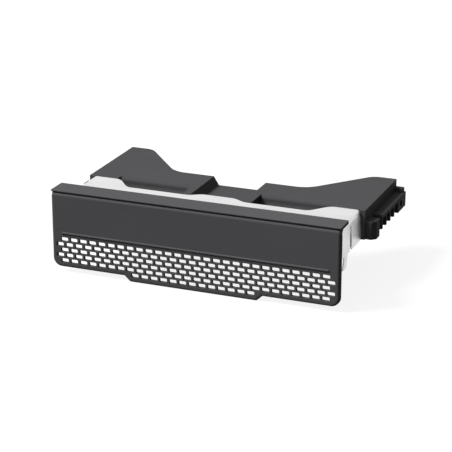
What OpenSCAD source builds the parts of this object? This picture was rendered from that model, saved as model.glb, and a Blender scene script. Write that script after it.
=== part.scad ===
// Drive bay blank filler: a moulded bezel with a brick grille, a folded
// shielding sheet and a moulded carrier that slides into a half-height bay.
// Millimetres. X runs across the bay, +Y into the bay, +Z up.
// Origin: middle of the bezel's lower rim, on the rear face that seats on the bay.

/* [Bezel] */
// Width of the bezel
bezel_w = 148.5; // [110:0.5:190]
// Height of the bezel, from the tab's lower edge to the top of the lip
bezel_h = 42.2; // [38:0.1:60]
// Thickness of the front plate
plate_t = 2.5; // [2.2:0.1:3.5]
// Rounding of the front edges
edge_r = 1.3; // [0.6:0.1:1.8]
// Radius of the two lower corners
corner_r = 4.5; // [2.5:0.1:8]
// Depth of the top lip behind the front plate
lip_depth = 9.5; // [6:0.5:16]
// Thickness of the top lip
lip_t = 1.5; // [1.2:0.1:2.2]
// Radius of the top lip's rear corners
lip_r = 1; // [0.5:0.1:4]
// Thickness of the lip's front edge
lip_edge = 0.6; // [0.5:0.1:1]
// Height of the shadow groove between the lip and the plate
groove_h = 0.8; // [0.5:0.1:1.2]
// Depth of the shadow groove
groove_d = 1.4; // [0.8:0.1:1.8]
// Width of the lower tab at its lower edge
tab_w = 68; // [50:1:90]
// How far each side of the tab slants outwards up to its root
tab_slant = 3; // [1:0.5:6]

/* [Grille] */
// Distance between holes along a row
hole_pitch = 5; // [4:0.1:7]
// Distance between rows
row_pitch = 2.75; // [2.4:0.05:3.6]
// Width of a hole
hole_w = 3.9; // [2.8:0.1:4.2]
// Height of a hole
hole_h = 2.05; // [1.2:0.05:2.1]
// Corner chamfer of a hole
hole_chamfer = 0.35; // [0.1:0.05:0.5]
// Rows above the tab's own row
full_rows = 5; // [3:1:5]
// Solid rim below the lowest holes
rim_h = 2.6; // [2:0.1:4]
// Solid rim beside the outermost holes
side_rim = 2.2; // [1.8:0.1:5]
// Thickness of the webs between the holes
web_t = 1.3; // [1:0.1:2]
// Height of the rear land that seats on the bay
seat_h = 0.4; // [0.3:0.1:0.8]
// Clearance of the rear relief round the holes
relief_gap = 0.5; // [0.3:0.1:0.8]
// Height of the raised bead above the grille
bead_h = 1; // [0.6:0.1:1.6]
// How far the bead stands proud
bead_d = 0.5; // [0.2:0.1:0.8]
// Height of the bead's middle above the top row of holes
bead_up = 2.2; // [1.5:0.1:5]
// How far the bead stops short of each side
bead_end = 5.5; // [3:0.5:12]

/* [Shield] */
// Sheet thickness
sheet_t = 0.6; // [0.4:0.1:1]
// Outside radius of the folds
fold_r = 2; // [1.2:0.1:3]
// Outside width across the side fingers, where they leave the fold
shield_w = 141.4; // [105:0.2:180]
// How far the top flange lies below the top of the bezel
shield_drop = 4.8; // [4:0.1:8]
// Depth of the top flange between its tongues
flange_depth = 28; // [20:0.5:36]
// Depth of the top flange at the two end tongues
end_tongue_depth = 38; // [30:0.5:50]
// Width of each end tongue at its free edge
end_tongue_w = 13; // [8:0.5:20]
// Depth of the top flange at the middle tongue
mid_tongue_depth = 31.6; // [29:0.1:40]
// Width of the middle tongue at its free edge
mid_tongue_w = 14; // [8:1:40]
// How far an end tongue's inner side sweeps out to the flange
tongue_sweep = 12; // [6:0.5:16]
// How far each side of the middle tongue sweeps out to the flange
mid_sweep = 9; // [4:0.5:16]
// How far the side fingers bow outwards
finger_bow = 0.7; // [0.2:0.1:1]
// Depth of the gap between the two bowed fingers of a side
slit_y = 22; // [18:0.5:26]
// Length of that gap, which holds a narrow flat bar
finger_gap = 3; // [2.4:0.1:4]
// Width of the flat bar
bar_w = 1.8; // [1.2:0.1:2]
// Depth at which the contact tab hangs from the front finger
contact_y = 12.7; // [8:0.1:14]
// Width of the contact tab
contact_w = 4.7; // [3:0.1:6]
// Gap between the front web's lower edge and the top row of holes
web_gap = 1; // [0.8:0.1:3]
// How far the contact tabs hang below the front web
finger_drop = 4.2; // [2:0.1:8]
// Length of the relief between the front web and a front finger
relief_l = 5; // [3:0.5:8]

/* [Carrier] */
// Width across the carrier's outer walls
carrier_w = 146; // [110:0.5:190]
// Height of the carrier
carrier_h = 14.9; // [12:0.1:20]
// Wall thickness
wall_t = 2; // [1.5:0.1:2.6]
// Thickness of the top skin
skin_t = 2; // [1.5:0.1:2.6]
// Depth from the bezel's seat to the back of the cross member
body_depth = 60; // [56:0.5:80]
// Depth from the bezel's seat to the ends of the arms
arm_depth = 90; // [80:0.5:120]
// Width of each arm at its end
arm_w = 12; // [9:0.5:20]
// Slope of an arm's inner edge
arm_angle = 50; // [42:1:60]
// Radius where an arm's end turns into its inner edge
arm_tip_r = 8; // [4:0.5:10]
// Radius where an arm's inner edge meets the cross member
arm_root_r = 13; // [6:0.5:16]
// Depth of the trough in front of the raised shoulders
trough_depth = 6; // [4:0.2:8]
// Rounding of the shoulders' front edge
brow_r = 2.2; // [0.5:0.1:3]
// Corner radius at the outer ends of the trough, in plan
trough_end_r = 3; // [1:0.5:5]
// Depth from the bezel's seat to the raised shoulders
shoulder_y = 41; // [40:0.5:50]
// Width of the sunk middle bay at its top
pocket_w = 28; // [18:1:40]
// How far each side of the middle bay slopes inwards down to its floor
pocket_slant = 2.8; // [0.5:0.1:4]
// Depth of the sunk middle bay
pocket_depth = 4.4; // [2.5:0.1:6]
// Width of the ribs beside the middle bay, along their tops
pocket_rib_t = 4.2; // [3:0.1:6]
// Thickness of the ribs on the open underside
under_rib_t = 1.6; // [1.2:0.1:2.4]
// How far the underside ribs stop above the lower edge
under_rib_up = 1.5; // [0.5:0.1:4]

/* [Guide rails] */
// How far each rail stands out from the carrier's outer wall
rail_out = 5; // [3:0.1:7]
// Height of a rail, from the carrier's lower edge
rail_h = 9; // [7:0.1:11]
// Length of the solid front pad
front_pad_l = 7; // [5:0.5:18]
// Length of the solid rear pad
rear_pad_l = 13; // [9:0.5:18]
// Open gap behind the front pad
rail_gap = 5; // [2:0.5:6]
// Number of uprights under the rail's ledge
uprights = 4; // [2:1:6]
// Thickness of an upright and of the ledge
upright_t = 1.6; // [1.2:0.1:2.2]
// Lead-in at the front of a rail
rail_lead = 2; // [1:0.1:3]
// Length of the stop at a rail's rear end
rail_stop = 3; // [2:0.1:4]
// Rise of that stop above the rail
stop_rise = 2.2; // [1:0.1:4]
// Radius of the latch hole in the rear pad
latch_hole_r = 1.7; // [1:0.1:2.2]

/* [Fits] */
// Clearance between pieces that pass or slide past each other
fit_gap = 0.2; // [0.1:0.05:0.4]
// Width of a snap hook
hook_w = 7; // [5:0.5:10]
// Distance from a rib beside the middle bay to the middle of the inner hook
hook_inset = 4.88; // [4.5:0.01:8]
// Distance from the trough's outer end to the middle of the outer hook
hook_end = 5.77; // [4:0.01:9]
// Thickness of a snap hook's arm
hook_t = 1.6; // [1.2:0.1:2]
// Height of a snap hook's barb
barb_h = 1.1; // [0.7:0.1:1.5]

/* [Hidden] */
$fn = 48;
cut = 1;             // how far a cutting shape runs past the solid
arc_steps = 8;       // straight steps in a computed arc

// levels
tab_z = -rim_h / 2;
side_z = tab_z + row_pitch;
tab_row_z = tab_z + rim_h + hole_h / 2;
top_row_z = tab_row_z + full_rows * row_pitch;
lip_z = tab_z + bezel_h;
plate_z = lip_z - lip_edge - groove_h;
shield_z = lip_z - shield_drop;
carrier_z = shield_z - carrier_h;
grille_z = top_row_z + hole_h / 2;
web_z = grille_z + web_gap;
pocket_z = shield_z - pocket_depth;
trough_z = shield_z - trough_depth;
hook_z = (web_z + shield_z) / 2;
finger_z = web_z - finger_drop;
bead_z = grille_z + bead_up;

// widths and depths
back_y = -seat_h;                    // the bezel's rear face inside the seat land
wall_y = back_y + sheet_t;           // the carrier's front wall, behind the shield's web
bezel_half = bezel_w / 2;
shield_half = shield_w / 2;
carrier_half = carrier_w / 2;
front_half = shield_half - sheet_t - fit_gap;
rear_y = end_tongue_depth + fit_gap;
rib_half = pocket_w / 2 + pocket_rib_t;
trough_half = shield_half - end_tongue_w;
hook_xs = [hook_end - trough_half, -rib_half - hook_inset, rib_half + hook_inset, trough_half - hook_end];

// ---------- helpers ----------

// Points of an arc round c, from angle a0 to a1
function arc(c, r, a0, a1, n = arc_steps) =
    [for (i = [0:n]) c + r * [cos(a0 + (a1 - a0) * i / n), sin(a0 + (a1 - a0) * i / n)]];

function mirrored(pts) = [for (i = [len(pts) - 1:-1:0]) [-pts[i][0], pts[i][1]]];

// Extrudes a profile drawn in X and Z from y0 to y1
module from_front(y0, y1) {
    translate([0, y1, 0]) rotate([90, 0, 0]) linear_extrude(y1 - y0) children();
}

// Extrudes a profile drawn in Y and Z across the full width w
module across(w) {
    rotate([90, 0, 90]) linear_extrude(w, center = true) children();
}

module block(x0, x1, y0, y1, z0, z1) {
    translate([x0, y0, z0]) cube([x1 - x0, y1 - y0, z1 - z0]);
}

module both_sides() {
    children();
    mirror([1, 0, 0]) children();
}

// ---------- bezel ----------

// A round plate corner: a disc of radius r with its front edge rounded
module plate_corner(x, z, r) {
    translate([x, 0, z]) rotate([90, 0, 0]) rotate_extrude()
        polygon(concat([[0, 0], [r, 0]],
                       arc([r - edge_r, plate_t - edge_r], edge_r, 0, 90, 5),
                       [[0, plate_t]]));
}

module plate() {
    top_r = edge_r + 0.3;
    hull() {
        for (s = [-1, 1]) {
            plate_corner(s * (bezel_half - corner_r), side_z + corner_r, corner_r);
            plate_corner(s * (bezel_half - top_r), plate_z - top_r, top_r);
        }
    }
}

module tab() {
    tab_r = edge_r + 0.7;
    root_z = side_z + corner_r;
    slant = tab_slant * (root_z - tab_z) / row_pitch;
    intersection() {
        hull() {
            for (s = [-1, 1]) {
                plate_corner(s * (tab_w / 2 - tab_r), tab_z + tab_r, tab_r);
                plate_corner(s * (tab_w / 2 + slant - tab_r), root_z + tab_r, tab_r);
            }
        }
        block(-bezel_half, bezel_half, -plate_t, 0, tab_z, side_z + rim_h + edge_r);
    }
}

// A grille hole with chamfered corners
module hole() {
    w = hole_w / 2;
    h = hole_h / 2;
    c = hole_chamfer;
    polygon([[-w + c, -h], [w - c, -h], [w, -h + c], [w, h - c],
             [w - c, h], [-w + c, h], [-w, h - c], [-w, -h + c]]);
}

// A row of holes within half the width given, centred on a hole or on a web
module hole_row(half, on_hole) {
    reach = (half - side_rim - hole_w / 2) / hole_pitch;
    n = on_hole ? 2 * floor(reach) + 1 : 2 * floor(reach + 0.5);
    for (i = [0:n - 1]) translate([(i - (n - 1) / 2) * hole_pitch, 0]) hole();
}

module grille_holes() {
    for (row = [1:full_rows])
        translate([0, tab_row_z + row * row_pitch]) hole_row(bezel_half, row % 2 == 0);
    translate([0, tab_row_z]) hole_row(tab_w / 2 + tab_slant / 2, true);
}

// Area inside the seat land, seen from the front, up to the height given
module rear_recess(top) {
    low = rim_h - relief_gap;
    side = bezel_half - side_rim;
    seat_top = plate_z - 2 * edge_r;
    translate([-side, side_z + low]) square([2 * side, top - side_z - low]);
    if (top > seat_top) translate([-bezel_half, seat_top]) square([bezel_w, top - seat_top]);
    polygon([[-tab_w / 2 + low, tab_z + low], [tab_w / 2 - low, tab_z + low],
             [tab_w / 2, side_z + rim_h], [-tab_w / 2, side_z + rim_h]]);
}

// Top lip with a rounded front edge, set above the shadow groove
module lip() {
    r = 0.3;
    y0 = -plate_t + 0.2;
    profile = concat([[y0 + groove_d, plate_z - edge_r], [back_y, plate_z - edge_r],
                      [back_y, lip_z - 2 * lip_t], [back_y + lip_t, lip_z - lip_t],
                      [lip_depth, lip_z - lip_t]],
                     arc([lip_depth - r, lip_z - r], r, 0, 90, 3),
                     arc([y0 + r, lip_z - r], r, 90, 180, 3),
                     [[y0, lip_z - lip_edge], [y0 + groove_d, lip_z - lip_edge]]);
    intersection() {
        across(bezel_w) polygon(profile);
        translate([0, 0, plate_z - 2 * edge_r]) linear_extrude(bezel_h)
            polygon(concat([[-bezel_half, -plate_t], [bezel_half, -plate_t]],
                           arc([bezel_half - lip_r, lip_depth - lip_r], lip_r, 0, 90, 4),
                           arc([-bezel_half + lip_r, lip_depth - lip_r], lip_r, 90, 180, 4)));
    }
}

// Rounded bead that runs along the top of the grille
module bead() {
    y = -plate_t;
    across(bezel_w - 2 * bead_end) polygon(concat([[y + 0.2, bead_z - bead_h / 2], [y, bead_z - bead_h / 2]],
        [for (i = [1:5]) [y - bead_d * sin(i * 30), bead_z - bead_h / 2 * cos(i * 30)]],
        [[y, bead_z + bead_h / 2], [y + 0.2, bead_z + bead_h / 2]]));
}

// Snap hook: an arm through the shield and the carrier's front wall, with a barb behind it
module hook(x) {
    catch_y = wall_y + wall_t + fit_gap;
    tip_y = catch_y + 3;
    foot = 0.5;
    translate([x, 0, hook_z]) across(hook_w)
        polygon([[back_y - foot, -hook_t / 2 - foot], [back_y, -hook_t / 2 - foot],
                 [back_y + foot, -hook_t / 2],
                 [tip_y, -hook_t / 2], [tip_y, -hook_t / 2 + foot],
                 [catch_y + foot, hook_t / 2 + barb_h], [catch_y, hook_t / 2 + barb_h],
                 [catch_y, hook_t / 2], [back_y - foot, hook_t / 2]]);
}

module bezel() color([0.2, 0.2, 0.21]) {
    difference() {
        union() {
            plate();
            tab();
        }
        from_front(back_y, cut) rear_recess(lip_z);
        from_front(-plate_t + web_t, cut) rear_recess(grille_z + relief_gap);
        from_front(-plate_t - cut, cut) grille_holes();
    }
    lip();
    bead();
    for (x = hook_xs) hook(x);
}

// ---------- shield ----------

// Slot that a hook passes through, with room for the hook to flex
module hook_slots(y0, y1) {
    h = hook_t + barb_h + 2 * fit_gap;
    for (x = hook_xs)
        block(x - hook_w / 2 - fit_gap, x + hook_w / 2 + fit_gap, y0, y1,
              hook_z + hook_t / 2 + fit_gap - h, hook_z + hook_t / 2 + fit_gap);
}

// Outline of the top flange: half of an S-curve between two depths
function sweep(x0, y0, x1, y1, n = 10) =
    [for (i = [0:n]) [x0 + (x1 - x0) * i / n, y0 + (y1 - y0) * (1 - cos(180 * i / n)) / 2]];

function flange_half() = concat(
    sweep(shield_half - end_tongue_w, end_tongue_depth,
          shield_half - end_tongue_w - tongue_sweep, flange_depth),
    sweep(mid_tongue_w / 2 + mid_sweep, flange_depth, mid_tongue_w / 2, mid_tongue_depth));

module flange_outline() {
    right = concat([[shield_half + 3, -cut], [shield_half + 3, end_tongue_depth]], flange_half());
    polygon(concat(right, mirrored(right)));
}

// Section across the shield: flat top, round folds and bowed sides; d is the inset
module shield_section(d) {
    fold_z = shield_z - fold_r;
    span = fold_z - finger_z;
    right = concat(
        [for (i = [0:arc_steps]) [shield_half - d + finger_bow * sin(180 * i / arc_steps),
                                  finger_z + span * i / arc_steps]],
        arc([shield_half - fold_r, fold_z], fold_r - d, 0, 90));
    bottom = d > 0 ? [[shield_half - d, finger_z - cut]] : [];
    polygon(concat(mirrored(concat(bottom, right)), concat(bottom, right)));
}

module emi_shield() color([0.8, 0.8, 0.81]) {
    low = finger_z;
    slit_z = shield_z - fold_r - sheet_t;
    difference() {
        intersection() {
            from_front(back_y, end_tongue_depth) shield_section(0);
            linear_extrude(bezel_h) flange_outline();
            // front fold between the web and the top flange
            across(shield_w + 10)
                polygon(concat([[end_tongue_depth, low], [end_tongue_depth, shield_z]],
                               arc([back_y + fold_r, shield_z - fold_r], fold_r, 90, 180),
                               [[back_y, low]]));
        }
        intersection() {
            from_front(-cut, end_tongue_depth + cut) shield_section(sheet_t);
            across(shield_w + 10)
                polygon(concat([[end_tongue_depth + cut, low - 2 * cut],
                                [end_tongue_depth + cut, shield_z - sheet_t]],
                               arc([back_y + fold_r, shield_z - fold_r], fold_r - sheet_t, 90, 180),
                               [[wall_y, low - 2 * cut]]));
        }
        // the web ends above the grille
        block(-shield_half + sheet_t + 1, shield_half - sheet_t - 1, -cut, fold_r, low - cut, web_z);
        // relief slots beside the web, so that it and the sides fold from one sheet
        both_sides() block(shield_half - sheet_t - 1, shield_half + 3, -cut, relief_l, low - cut, shield_z - fold_r);
        // the fingers end at the carrier's lower edge, and only the contact tab hangs lower
        both_sides() block(shield_half - 4, shield_half + 4, 0, contact_y, low - cut, carrier_z);
        both_sides() block(shield_half - 4, shield_half + 4, contact_y + contact_w, end_tongue_depth + cut,
                           low - cut, carrier_z);
        // gap between the two fingers
        both_sides() block(shield_half - 4, shield_half + 4, slit_y - finger_gap / 2, slit_y + finger_gap / 2,
                           low - cut, slit_z);
        hook_slots(-cut, fold_r);
    }
    // narrow flat bar in the gap
    both_sides() block(shield_half - sheet_t, shield_half, slit_y - bar_w / 2, slit_y + bar_w / 2,
                       carrier_z, slit_z + sheet_t / 2);
}

// ---------- carrier ----------

// Inner edge of an arm from its end to the cross member, inset by d into the solid
function arm_edge(d) =
    let (n = [-sin(arm_angle), cos(arm_angle)],
         u = [cos(arm_angle), sin(arm_angle)],
         tip = [carrier_half - arm_w, arm_depth],
         tip_c = tip - n * arm_tip_r + u * ((-arm_tip_r + n[1] * arm_tip_r) / u[1]),
         root_c = tip + n * arm_root_r + u * ((body_depth + arm_root_r - tip[1] - n[1] * arm_root_r) / u[1]))
    concat(arc(tip_c, arm_tip_r - d, 90, 90 + arm_angle),
           arc(root_c, arm_root_r + d, arm_angle - 90, -90));

// Plan of the raised rear part with both arms, inset by d
module rear_plan(d, front_y) {
    right = concat([[carrier_half - d, front_y], [carrier_half - d, arm_depth - d]], arm_edge(d));
    polygon(concat(right, mirrored(right)));
}

// Trough in front of the shoulders: hollow at its foot, rounded at its top; grown by e for the skin
module trough(e) {
    front = flange_depth - 1 - e;
    back = shoulder_y + brow_r + e;
    r = trough_depth - brow_r;
    end_c = [trough_half - trough_end_r, shoulder_y + brow_r - trough_end_r];
    intersection() {
        across(carrier_w)
            polygon(concat([[front, shield_z + cut], [front, trough_z - e]],
                           arc([shoulder_y - r, trough_z + r], r + e, 270, 360),
                           arc([shoulder_y + brow_r, shield_z - brow_r], max(brow_r - e, 0.1), 180, 90),
                           [[shoulder_y + brow_r, shield_z + cut]]));
        both_sides() translate([0, 0, trough_z - e - cut]) linear_extrude(trough_depth + e + 3 * cut)
            polygon(concat([[rib_half - e, front - cut], [trough_half + e, front - cut]],
                           arc(end_c, trough_end_r + e, 0, 90), [[rib_half - e, back]]));
    }
}

// Middle bay with sloping sides; grown by e for the skin
module middle_pocket(e) {
    k = pocket_slant / pocket_depth;
    side = pocket_w / 2 + e * sqrt(1 + k * k);
    foot = side - k * (pocket_depth + e);
    head = side + k * cut;
    from_front(flange_depth - 1 - e, body_depth + cut)
        polygon([[-foot, pocket_z - e], [foot, pocket_z - e],
                 [head, shield_z + cut], [-head, shield_z + cut]]);
}

// Ribs beside the middle bay, level with the shoulders; they start behind the shield's free edge
module bay_ribs() {
    difference() {
        block(-rib_half, rib_half, flange_depth, rear_y + cut, pocket_z, shield_z);
        translate([0, 1.5 * fit_gap, shield_z - sheet_t - fit_gap]) linear_extrude(2 * cut) flange_outline();
    }
}

// Outside form of the moulding before it is hollowed
module carrier_form() {
    top = shield_z - sheet_t;
    r = fold_r;
    translate([0, 0, carrier_z]) linear_extrude(carrier_h) rear_plan(0, rear_y);
    // front part, with its upper edges rounded to sit inside the shield's folds
    intersection() {
        from_front(wall_y, rear_y + cut)
            polygon(concat([[-front_half, carrier_z], [front_half, carrier_z]],
                           arc([front_half - r, top - r], r, 0, 90),
                           arc([-front_half + r, top - r], r, 90, 180)));
        across(carrier_w)
            polygon(concat([[wall_y, carrier_z], [rear_y + cut, carrier_z], [rear_y + cut, top]],
                           arc([wall_y + r, top - r], r, 90, 180)));
    }
}

module carrier_cavity() {
    difference() {
        union() {
            translate([0, 0, carrier_z - cut]) linear_extrude(carrier_h - skin_t + cut)
                rear_plan(wall_t, rear_y - cut);
            block(-front_half + wall_t, front_half - wall_t, wall_y + wall_t, rear_y + wall_t,
                  carrier_z - cut, shield_z - sheet_t - skin_t);
        }
        trough(skin_t);
        middle_pocket(skin_t);
        // front shoulders of the rear part
        both_sides() block(front_half - wall_t, carrier_half, rear_y - 2 * cut, rear_y + wall_t,
                           carrier_z - 2 * cut, shield_z);
    }
}

// Ribs that stiffen the open underside
module under_ribs() {
    t = under_rib_t / 2;
    low = carrier_z + under_rib_up;
    arm_rib_y = (body_depth + arm_depth) / 2;
    intersection() {
        carrier_cavity();
        union() {
            for (x = [-1, 1, -2, 2] * (rib_half - t))
                block(x - t, x + t, 0, body_depth, low, shield_z);
            for (y = [shoulder_y, arm_rib_y])
                block(-carrier_half, carrier_half, y - t, y + t, low, shield_z);
        }
    }
}

// Hole for the bay's latch pin, through the right-hand rail and the wall behind it
module latch_hole() {
    translate([carrier_half - wall_t - cut, arm_depth - (rear_pad_l + rail_stop) / 2,
               carrier_z + (rail_h + upright_t) / 2])
        rotate([0, 90, 0]) cylinder(r = latch_hole_r, h = rail_out + wall_t + 2 * cut);
}

// Guide rail on the right-hand wall
module rail() {
    x0 = carrier_half - 0.1;
    x1 = carrier_half + rail_out;
    y0 = rear_y + 1;
    y1 = y0 + front_pad_l;
    y2 = y1 + rail_gap;
    y3 = arm_depth - rear_pad_l;
    top = carrier_z + rail_h;
    low = carrier_z + upright_t;
    y4 = arm_depth - rail_stop;
    // front pad with a lead-in
    translate([0, 0, carrier_z]) linear_extrude(rail_h)
        polygon([[x0, y0], [x1 - rail_lead, y0], [x1, y0 + rail_lead], [x1, y1], [x0, y1]]);
    // ledge and its uprights
    block(x0, x1, y2, y3 + cut, top - upright_t, top);
    for (i = [0:uprights - 1]) {
        y = y2 + i * (y3 - y2) / uprights;
        block(x0, x1 - upright_t / 4, y, y + upright_t, low, top);
    }
    // rear pad with the latch hole
    difference() {
        union() {
            block(x0, x1, y3, arm_depth, low, top);
            block(x0, x1 - upright_t / 2, y4, arm_depth, low, top + stop_rise);
        }
        latch_hole();
    }
}

module carrier() color([0.13, 0.13, 0.135]) {
    difference() {
        union() {
            carrier_form();
            bay_ribs();
        }
        carrier_cavity();
        trough(0);
        middle_pocket(0);
        hook_slots(wall_y - cut, wall_y + wall_t + cut);
        both_sides() latch_hole();
    }
    under_ribs();
    both_sides() rail();
}

bezel();
emi_shield();
carrier();
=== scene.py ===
"""Finishes and stage for a drive bay blank filler: moulded bezel, folded shielding sheet, moulded carrier."""

import math

import bpy
from mathutils import Matrix, Vector


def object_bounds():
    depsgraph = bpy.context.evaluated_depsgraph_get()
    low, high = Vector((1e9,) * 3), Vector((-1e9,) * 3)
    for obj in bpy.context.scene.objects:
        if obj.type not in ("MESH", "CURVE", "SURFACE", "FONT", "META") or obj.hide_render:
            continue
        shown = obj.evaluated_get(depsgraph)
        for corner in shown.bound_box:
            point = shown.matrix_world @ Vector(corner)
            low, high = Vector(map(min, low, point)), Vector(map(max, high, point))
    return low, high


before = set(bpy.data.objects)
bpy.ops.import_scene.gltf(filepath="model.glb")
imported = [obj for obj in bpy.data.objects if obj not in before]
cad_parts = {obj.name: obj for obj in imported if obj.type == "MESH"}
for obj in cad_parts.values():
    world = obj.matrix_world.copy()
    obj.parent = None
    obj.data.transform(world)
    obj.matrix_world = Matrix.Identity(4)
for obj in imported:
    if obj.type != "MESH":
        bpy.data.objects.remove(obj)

bl_info = {
    "name": "Drive bay blank filler",
    "version": (1, 0, 0),
    "blender": (4, 5, 0),
    "location": "3D View > Sidebar > Bay filler",
    "description": "Moulded plastic and rolled sheet finishes for a bay filler, with a plain studio stage",
    "category": "Object",
}

CAD_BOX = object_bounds()
MM = 0.001

# finishes
PLASTIC_IOR = 1.49
PLASTIC_SPECULAR = 0.04     # low, because the mould texture breaks up the shine
EDGE_HIGHLIGHT = 0.35            # painted highlight: how much paler the rounded edges are painted, standing in for light catching them
EDGE_POLISH = 0.08          # how much smoother a handled edge is
GRAIN_TONE = 0.08           # change of tone between grains
SHEET_EDGE_HIGHLIGHT = 0.12           # painted highlight: how much paler the sheet's sheared edges are painted
SHEET_HAZE = 0.03           # change of tone in the sheet's haze

# stage
BRIGHT_SIDE = Vector((-0.6, -0.33, 0.73)).normalized()     # where the room's light comes from
BRIGHT_LIMIT = 0.1          # how far towards that side a direction lies before it gives light
FLOOR_HALF = 4.0            # half the floor's width, in metres
FLOOR_SEEN = 0.95           # the floor's paint as it is seen
FLOOR_BOUNCE = 0.05         # the floor's paint as it lights the object


# ---------- settings ----------

class FILLER_PG_plastic(bpy.types.PropertyGroup):
    """Colours and moulded grain of the two plastic pieces"""

    bezel_colour: bpy.props.FloatVectorProperty(
        name="Bezel colour",
        description="Charcoal of the moulded bezel",
        subtype="COLOR", size=3, min=0, max=1, default=(0.06, 0.06, 0.063),
    )
    carrier_colour: bpy.props.FloatVectorProperty(
        name="Carrier colour",
        description="Black of the moulded carrier",
        subtype="COLOR", size=3, min=0, max=1, default=(0.045, 0.045, 0.047),
    )
    grain_size: bpy.props.FloatProperty(
        name="Grain size",
        description="Width of one grain of the eroded mould texture",
        unit="LENGTH", precision=5, min=0.00005, max=0.002, default=0.28 * MM,
    )
    grain_depth: bpy.props.FloatProperty(
        name="Grain depth",
        description="Depth of the eroded mould texture",
        unit="LENGTH", precision=6, min=0, max=0.0002, default=0.012 * MM,
    )
    edge_radius: bpy.props.FloatProperty(
        name="Edge rounding",
        description="Shaded rounding of the moulded edges",
        unit="LENGTH", precision=5, min=0, max=0.002, default=0.3 * MM,
    )


class FILLER_PG_sheet(bpy.types.PropertyGroup):
    """Colour and rolling marks of the shielding sheet"""

    colour: bpy.props.FloatVectorProperty(
        name="Sheet colour",
        description="Bare colour of the plated steel sheet",
        subtype="COLOR", size=3, min=0, max=1, default=(0.72, 0.72, 0.72),
    )
    mark_pitch: bpy.props.FloatProperty(
        name="Mark pitch",
        description="Distance between neighbouring rolling marks",
        unit="LENGTH", precision=5, min=0.00005, max=0.002, default=0.22 * MM,
    )
    mark_length: bpy.props.FloatProperty(
        name="Mark length",
        description="Length of a rolling mark",
        unit="LENGTH", precision=4, min=0.001, max=0.1, default=14 * MM,
    )
    edge_radius: bpy.props.FloatProperty(
        name="Edge rounding",
        description="Shaded rounding of the sheared edges",
        unit="LENGTH", precision=5, min=0, max=0.001, default=0.12 * MM,
    )


class FILLER_PG_stage(bpy.types.PropertyGroup):
    """Camera, lamps and floor"""

    lens: bpy.props.FloatProperty(
        name="Lens",
        description="Focal length of the camera, in millimetres",
        unit="CAMERA", min=20, max=400, default=142,
    )
    azimuth: bpy.props.FloatProperty(
        name="Azimuth",
        description="Angle of the camera to the right of the bezel's front",
        subtype="ANGLE", default=math.radians(21.87),
    )
    elevation: bpy.props.FloatProperty(
        name="Elevation",
        description="Angle of the camera above the horizon",
        subtype="ANGLE", default=math.radians(19.83),
    )
    distance: bpy.props.FloatProperty(
        name="Distance",
        description="Distance from the camera to the point it looks at",
        unit="LENGTH", min=0.2, max=5, default=0.848,
    )
    target: bpy.props.FloatVectorProperty(
        name="Target",
        description="Point that the camera looks at, from the bezel's seat",
        subtype="TRANSLATION", size=3, default=(0.0134, 0.0080, 0.0304),
    )
    ambient: bpy.props.FloatProperty(
        name="Ambient light",
        description="Brightness of the room's bright side as it lights the object",
        min=0, max=2, default=1.1,
    )
    key_strength: bpy.props.FloatProperty(
        name="Key strength",
        description="Strength of the wide soft key above the left-hand side",
        min=0, max=20, default=5.4,
    )
    key_angle: bpy.props.FloatProperty(
        name="Key softness",
        description="Angle that the key covers, seen from the object",
        subtype="ANGLE", min=0, max=math.pi, default=math.radians(24),
    )
    floor_light: bpy.props.FloatProperty(
        name="Floor lightness",
        description="Share of plain white in the floor, which keeps the rest of the shadow",
        subtype="FACTOR", min=0, max=1, default=0.88,
    )


# ---------- shader helpers ----------

class Graph:
    """Adds and links shader nodes in one node tree."""

    def __init__(self, tree):
        self.tree = tree

    def add(self, kind, inputs=None, **settings):
        """A node with its settings, and its inputs set to numbers or linked to sockets."""
        node = self.tree.nodes.new(kind)
        for name, value in settings.items():
            setattr(node, name, value)
        for name, value in (inputs or {}).items():
            self.feed(node.inputs[name], value)
        return node

    def feed(self, socket, value):
        if isinstance(value, bpy.types.NodeSocket):
            self.tree.links.new(value, socket)
        else:
            socket.default_value = value

    def math(self, operation, *values, clamp=False):
        node = self.add("ShaderNodeMath", operation=operation, use_clamp=clamp)
        for socket, value in zip(node.inputs, values):
            self.feed(socket, value)
        return node.outputs[0]

    def vector(self, operation, *values, output="Vector"):
        node = self.add("ShaderNodeVectorMath", operation=operation)
        for socket, value in zip(node.inputs, values):
            self.feed(socket, value)
        return node.outputs[output]

    def remap(self, value, low, high, to_low=0.0, to_high=1.0):
        inputs = {"Value": value, "From Min": low, "From Max": high, "To Min": to_low, "To Max": to_high}
        return self.add("ShaderNodeMapRange", inputs).outputs["Result"]

    def tint(self, colour, factor):
        """A set colour times a number that changes over the surface."""
        node = self.add("ShaderNodeVectorMath", operation="SCALE")
        node.inputs[0].default_value = colour[:3]
        self.feed(node.inputs["Scale"], factor)
        return node.outputs["Vector"]

    def noise(self, position, scale, detail=2.0, roughness=0.5):
        inputs = {"Vector": position, "Scale": scale, "Detail": detail, "Roughness": roughness}
        return self.add("ShaderNodeTexNoise", inputs).outputs["Fac"]

    def group(self, tree, inputs=None):
        node = self.add("ShaderNodeGroup")
        node.node_tree = tree
        for name, value in (inputs or {}).items():
            self.feed(node.inputs[name], value)
        return node


def new_group(name, inputs, outputs):
    """An empty shader node group with named inputs and outputs, and its graph."""
    tree = bpy.data.node_groups.new(name, "ShaderNodeTree")
    for label, value in inputs.items():
        socket = tree.interface.new_socket(label, in_out="INPUT", socket_type="NodeSocketFloat")
        socket.default_value = value
    for label, kind in outputs.items():
        tree.interface.new_socket(label, in_out="OUTPUT", socket_type=kind)
    graph = Graph(tree)
    return tree, graph, graph.add("NodeGroupInput"), graph.add("NodeGroupOutput")


def metres(graph):
    """Position on the object, in metres."""
    return graph.add("ShaderNodeTexCoord").outputs["Object"]


# ---------- shared effects ----------

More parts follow.
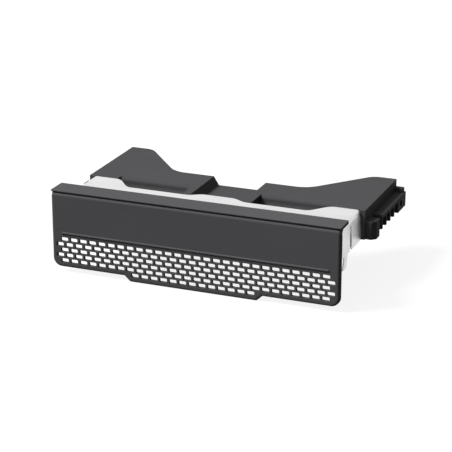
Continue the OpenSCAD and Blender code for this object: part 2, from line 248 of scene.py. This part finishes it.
def soft_edges():
    """Rounded normals along edges, and a mask of the edges themselves."""
    tree, g, given, result = new_group(
        "soft_edges",
        {"Radius": 0.3 * MM, "Gain": 6.0},
        {"Normal": "NodeSocketVector", "Edge": "NodeSocketFloat"},
    )
    bevel = g.add("ShaderNodeBevel", {"Radius": given.outputs["Radius"]}, samples=6)
    face = g.add("ShaderNodeNewGeometry").outputs["True Normal"]
    turned = g.math("SUBTRACT", 1.0, g.vector("DOT_PRODUCT", bevel.outputs["Normal"], face, output="Value"))
    g.feed(result.inputs["Normal"], bevel.outputs["Normal"])
    g.feed(result.inputs["Edge"], g.math("MULTIPLY", turned, given.outputs["Gain"], clamp=True))
    return tree


def moulded_grain():
    """Height and tone of an eroded mould texture: rounded pits with a finer grain over them."""
    tree, g, given, result = new_group(
        "moulded_grain",
        {"Size": 0.28 * MM, "Depth": 0.012 * MM},
        {"Height": "NodeSocketFloat", "Tone": "NodeSocketFloat"},
    )
    position = metres(g)
    per_metre = g.math("DIVIDE", 1.0, given.outputs["Size"])
    cells = g.add(
        "ShaderNodeTexVoronoi",
        {"Vector": position, "Scale": per_metre, "Smoothness": 0.6, "Randomness": 1.0},
        feature="SMOOTH_F1",
    )
    fine = g.noise(position, g.math("MULTIPLY", per_metre, 2.3), detail=3.0, roughness=0.6)
    grain = g.math("ADD", g.math("MULTIPLY", cells.outputs["Distance"], 0.7), g.math("MULTIPLY", fine, 0.6))
    g.feed(result.inputs["Height"], g.math("MULTIPLY", grain, given.outputs["Depth"]))
    g.feed(result.inputs["Tone"], g.remap(grain, 0.35, 0.95))
    return tree


def flow_marks():
    """Slow changes of tone and gloss that a moulding keeps from its filling, along the width."""
    tree, g, given, result = new_group(
        "flow_marks",
        {"Size": 30 * MM, "Stretch": 3.0},
        {"Tone": "NodeSocketFloat"},
    )
    along = g.math("DIVIDE", 1.0, given.outputs["Stretch"])
    stretched = g.add("ShaderNodeCombineXYZ", {"X": along, "Y": 1.0, "Z": 1.0})
    position = g.vector("MULTIPLY", metres(g), stretched.outputs["Vector"])
    slow = g.noise(position, g.math("DIVIDE", 1.0, given.outputs["Size"]), detail=3.0, roughness=0.55)
    g.feed(result.inputs["Tone"], g.remap(slow, 0.3, 0.7))
    return tree


def rolling_marks():
    """Long thin marks across the sheet's width, which follow the sheet round its folds."""
    tree, g, given, result = new_group(
        "rolling_marks",
        {"Pitch": 0.22 * MM, "Length": 14 * MM},
        {"Tone": "NodeSocketFloat", "Height": "NodeSocketFloat"},
    )
    along = g.math("DIVIDE", 1.0, given.outputs["Length"])
    across = g.math("DIVIDE", 1.0, given.outputs["Pitch"])
    position = metres(g)
    normal = g.add("ShaderNodeSeparateXYZ", {"Vector": g.add("ShaderNodeNewGeometry").outputs["Normal"]})
    on_web = g.math("GREATER_THAN", g.math("ABSOLUTE", normal.outputs["Y"]), 0.7)
    flat_scale = g.add("ShaderNodeCombineXYZ", {"X": along, "Y": across, "Z": along})
    web_scale = g.add("ShaderNodeCombineXYZ", {"X": along, "Y": along, "Z": across})
    flat = g.noise(g.vector("MULTIPLY", position, flat_scale.outputs["Vector"]), 1.0, detail=4.0, roughness=0.65)
    web = g.noise(g.vector("MULTIPLY", position, web_scale.outputs["Vector"]), 1.0, detail=4.0, roughness=0.65)
    marks = g.add("ShaderNodeMix", {"Factor": on_web, "A": flat, "B": web}, data_type="FLOAT").outputs["Result"]
    g.feed(result.inputs["Tone"], g.remap(marks, 0.3, 0.7))
    g.feed(result.inputs["Height"], g.math("MULTIPLY", marks, given.outputs["Pitch"]))
    return tree


def effect(name, make):
    """The node group of that name, made the first time it is asked for."""
    return bpy.data.node_groups.get(name) or make()


# ---------- materials ----------

def new_material(name):
    material = bpy.data.materials.new(name)
    material.use_nodes = True
    material.node_tree.nodes.clear()
    graph = Graph(material.node_tree)
    shader = graph.add("ShaderNodeBsdfPrincipled")
    output = graph.add("ShaderNodeOutputMaterial", {"Surface": shader.outputs["BSDF"]})
    output.location.x = 300
    return material, graph, shader


def dress(node, material):
    """Gives a CAD node its material."""
    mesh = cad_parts[node].data
    mesh.materials.clear()
    mesh.materials.append(material)


def moulded_plastic(name, colour, roughness, settings, gloss_spread, tone_spread):
    """Matte moulded plastic: eroded grain, flow marks, edges polished a little by handling, and a painted
    highlight that pales the edges.
    """
    material, g, shader = new_material(name)
    edges = g.group(effect("soft_edges", soft_edges), {"Radius": settings.edge_radius})
    grain = g.group(
        effect("moulded_grain", moulded_grain),
        {"Size": settings.grain_size, "Depth": settings.grain_depth},
    )
    flow = g.group(effect("flow_marks", flow_marks))
    # tone: flow marks, a painted highlight along the edges, and the grain
    tone = g.math(
        "ADD",
        g.remap(flow.outputs["Tone"], 0.0, 1.0, 1.0 - tone_spread, 1.0 + tone_spread),
        g.math(
            "ADD",
            g.math("MULTIPLY", edges.outputs["Edge"], EDGE_HIGHLIGHT),
            g.remap(grain.outputs["Tone"], 0.0, 1.0, -GRAIN_TONE, GRAIN_TONE),
        ),
    )
    shade = g.tint(colour, tone)
    gloss = g.math(
        "ADD",
        g.remap(flow.outputs["Tone"], 0.0, 1.0, roughness - gloss_spread, roughness + gloss_spread),
        g.math("MULTIPLY", edges.outputs["Edge"], -EDGE_POLISH),
        clamp=True,
    )
    bump = g.add(
        "ShaderNodeBump",
        {"Strength": 1.0, "Distance": 1.0, "Height": grain.outputs["Height"], "Normal": edges.outputs["Normal"]},
    )
    g.feed(shader.inputs["Base Color"], shade)
    g.feed(shader.inputs["Roughness"], gloss)
    g.feed(shader.inputs["Normal"], bump.outputs["Normal"])
    shader.inputs["IOR"].default_value = PLASTIC_IOR
    shader.inputs["Specular IOR Level"].default_value = PLASTIC_SPECULAR
    return material


def plated_sheet(name, settings):
    """Thin plated steel: rolling marks, a slow haze, and a painted highlight that brightens the sheared edges."""
    material, g, shader = new_material(name)
    edges = g.group(effect("soft_edges", soft_edges), {"Radius": settings.edge_radius})
    marks = g.group(
        effect("rolling_marks", rolling_marks),
        {"Pitch": settings.mark_pitch, "Length": settings.mark_length},
    )
    haze = g.group(effect("flow_marks", flow_marks), {"Size": 14 * MM, "Stretch": 2.0})
    tone = g.math(
        "ADD",
        g.remap(marks.outputs["Tone"], 0.0, 1.0, 0.93, 1.03),
        g.remap(haze.outputs["Tone"], 0.0, 1.0, -SHEET_HAZE, SHEET_HAZE),
    )
    # painted highlight: paler along the sheared edges
    tone = g.math("ADD", tone, g.math("MULTIPLY", edges.outputs["Edge"], SHEET_EDGE_HIGHLIGHT))
    shade = g.tint(settings.colour, tone)
    gloss = g.math(
        "ADD",
        g.remap(haze.outputs["Tone"], 0.0, 1.0, 0.34, 0.46),
        g.remap(marks.outputs["Tone"], 0.0, 1.0, -0.05, 0.06),
    )
    bump = g.add(
        "ShaderNodeBump",
        {"Strength": 0.25, "Distance": 0.1, "Height": marks.outputs["Height"], "Normal": edges.outputs["Normal"]},
    )
    g.feed(shader.inputs["Base Color"], shade)
    g.feed(shader.inputs["Roughness"], gloss)
    g.feed(shader.inputs["Normal"], bump.outputs["Normal"])
    shader.inputs["Metallic"].default_value = 1.0
    return material


# ---------- stage ----------

def seen_directly(g):
    """1 for camera, mirror and glass rays, so that what reflects the room shows it white."""
    path = g.add("ShaderNodeLightPath").outputs
    seen = g.math("MAXIMUM", path["Is Camera Ray"], path["Is Glossy Ray"])
    return g.math("MAXIMUM", seen, path["Is Transmission Ray"])


def white_room(settings):
    """A plain white world that lights the object mostly from its bright side."""
    world = bpy.data.worlds.new("white_room")
    world.use_nodes = True
    world.node_tree.nodes.clear()
    g = Graph(world.node_tree)
    direction = g.add("ShaderNodeTexCoord").outputs["Generated"]
    facing = g.vector("DOT_PRODUCT", direction, tuple(BRIGHT_SIDE), output="Value")
    lighting = g.remap(facing, BRIGHT_LIMIT, 1.0, 0.0, settings.ambient)
    seen = seen_directly(g)
    strength = g.add("ShaderNodeMix", {"Factor": seen, "A": lighting, "B": 1.0}, data_type="FLOAT")
    sky = g.add("ShaderNodeBackground", {"Color": (1, 1, 1, 1), "Strength": strength.outputs["Result"]})
    g.add("ShaderNodeOutputWorld", {"Surface": sky.outputs["Background"]})
    bpy.context.scene.world = world


def pale_floor(settings):
    """A wide white floor under the object that keeps a light shadow."""
    low = CAD_BOX[0].z
    half = FLOOR_HALF
    mesh = bpy.data.meshes.new("floor")
    corners = [(-half, -half, low), (half, -half, low), (half, half, low), (-half, half, low)]
    mesh.from_pydata(corners, [], [(0, 1, 2, 3)])
    floor = bpy.data.objects.new("floor", mesh)
    bpy.context.scene.collection.objects.link(floor)
    material = bpy.data.materials.new("pale_floor")
    material.use_nodes = True
    material.node_tree.nodes.clear()
    g = Graph(material.node_tree)
    seen = seen_directly(g)
    paint = g.add("ShaderNodeBsdfDiffuse", {"Color": g.remap(seen, 0.0, 1.0, FLOOR_BOUNCE, FLOOR_SEEN)})
    glow = g.add("ShaderNodeEmission", {"Color": (1, 1, 1, 1), "Strength": 1.0})
    share = g.math("MULTIPLY", seen, settings.floor_light)
    mixed = g.add("ShaderNodeMixShader", {"Fac": share})
    g.feed(mixed.inputs[1], paint.outputs[0])
    g.feed(mixed.inputs[2], glow.outputs[0])
    g.add("ShaderNodeOutputMaterial", {"Surface": mixed.outputs[0]})
    mesh.materials.append(material)


def aim(obj, place, target):
    """Puts a lamp or the camera at a place and turns it to a target, level."""
    turn = (Vector(target) - Vector(place)).to_track_quat("-Z", "Y")
    obj.matrix_world = Matrix.Translation(place) @ turn.to_matrix().to_4x4()


def soft_key(settings):
    """One wide, even lamp from the room's bright side."""
    light = bpy.data.lights.new("key", "SUN")
    light.energy = settings.key_strength
    light.angle = settings.key_angle
    lamp = bpy.data.objects.new("key", light)
    bpy.context.scene.collection.objects.link(lamp)
    aim(lamp, BRIGHT_SIDE, (0, 0, 0))


def stage_camera(settings):
    camera = bpy.data.cameras.new("camera")
    camera.lens = settings.lens
    camera.sensor_width = 36
    camera.clip_start = 0.05
    holder = bpy.data.objects.new("camera", camera)
    bpy.context.scene.collection.objects.link(holder)
    flat = math.cos(settings.elevation) * settings.distance
    offset = Vector((
        math.sin(settings.azimuth) * flat,
        -math.cos(settings.azimuth) * flat,
        math.sin(settings.elevation) * settings.distance,
    ))
    target = Vector(settings.target)
    aim(holder, target + offset, target)
    bpy.context.scene.camera = holder


# ---------- operators ----------

class FILLER_OT_bezel(bpy.types.Operator):
    """Gives the bezel its charcoal moulded finish"""

    bl_idname = "filler.bezel"
    bl_label = "Finish bezel"

    def execute(self, context):
        settings = context.scene.filler_plastic
        dress("bezel", moulded_plastic(
            "charcoal_plastic", settings.bezel_colour, 0.7, settings, gloss_spread=0.03, tone_spread=0.05))
        return {"FINISHED"}


class FILLER_OT_shield(bpy.types.Operator):
    """Gives the shielding sheet its plated steel finish"""

    bl_idname = "filler.shield"
    bl_label = "Finish shield"

    def execute(self, context):
        dress("emi_shield", plated_sheet("sheet_metal", context.scene.filler_sheet))
        return {"FINISHED"}


class FILLER_OT_carrier(bpy.types.Operator):
    """Gives the carrier its black moulded finish"""

    bl_idname = "filler.carrier"
    bl_label = "Finish carrier"

    def execute(self, context):
        settings = context.scene.filler_plastic
        dress("carrier", moulded_plastic(
            "black_plastic", settings.carrier_colour, 0.68, settings, gloss_spread=0.04, tone_spread=0.08))
        return {"FINISHED"}


class FILLER_OT_stage(bpy.types.Operator):
    """Sets up the camera, the white room, the floor and the lamps"""

    bl_idname = "filler.stage"
    bl_label = "Set stage"

    def execute(self, context):
        settings = context.scene.filler_stage
        scene = context.scene
        scene.view_settings.view_transform = "Standard"
        stage_camera(settings)
        white_room(settings)
        pale_floor(settings)
        soft_key(settings)
        return {"FINISHED"}


class FILLER_PT_panel(bpy.types.Panel):
    """Sizes, colours and steps of the bay filler"""

    bl_idname = "FILLER_PT_panel"
    bl_label = "Bay filler"
    bl_space_type = "VIEW_3D"
    bl_region_type = "UI"
    bl_category = "Bay filler"

    def draw(self, context):
        for settings in (context.scene.filler_plastic, context.scene.filler_sheet, context.scene.filler_stage):
            box = self.layout.box()
            for name in settings.bl_rna.properties.keys():
                if name not in ("rna_type", "name"):
                    box.prop(settings, name)
        for operator in OPERATORS:
            self.layout.operator(operator.bl_idname)


GROUPS = {
    "filler_plastic": FILLER_PG_plastic,
    "filler_sheet": FILLER_PG_sheet,
    "filler_stage": FILLER_PG_stage,
}
OPERATORS = (FILLER_OT_stage, FILLER_OT_bezel, FILLER_OT_shield, FILLER_OT_carrier)


def register():
    for cls in (*GROUPS.values(), *OPERATORS, FILLER_PT_panel):
        bpy.utils.register_class(cls)
    for name, cls in GROUPS.items():
        setattr(bpy.types.Scene, name, bpy.props.PointerProperty(type=cls))


def unregister():
    for name in GROUPS:
        delattr(bpy.types.Scene, name)
    for cls in (FILLER_PT_panel, *reversed(OPERATORS), *GROUPS.values()):
        bpy.utils.unregister_class(cls)


def corners(box):
    return [list(corner) for corner in box]


def main():
    register()
    bpy.ops.filler.stage()
    bpy.ops.filler.bezel()
    bpy.ops.filler.shield()
    bpy.ops.filler.carrier()


if __name__ == "__main__":
    main()
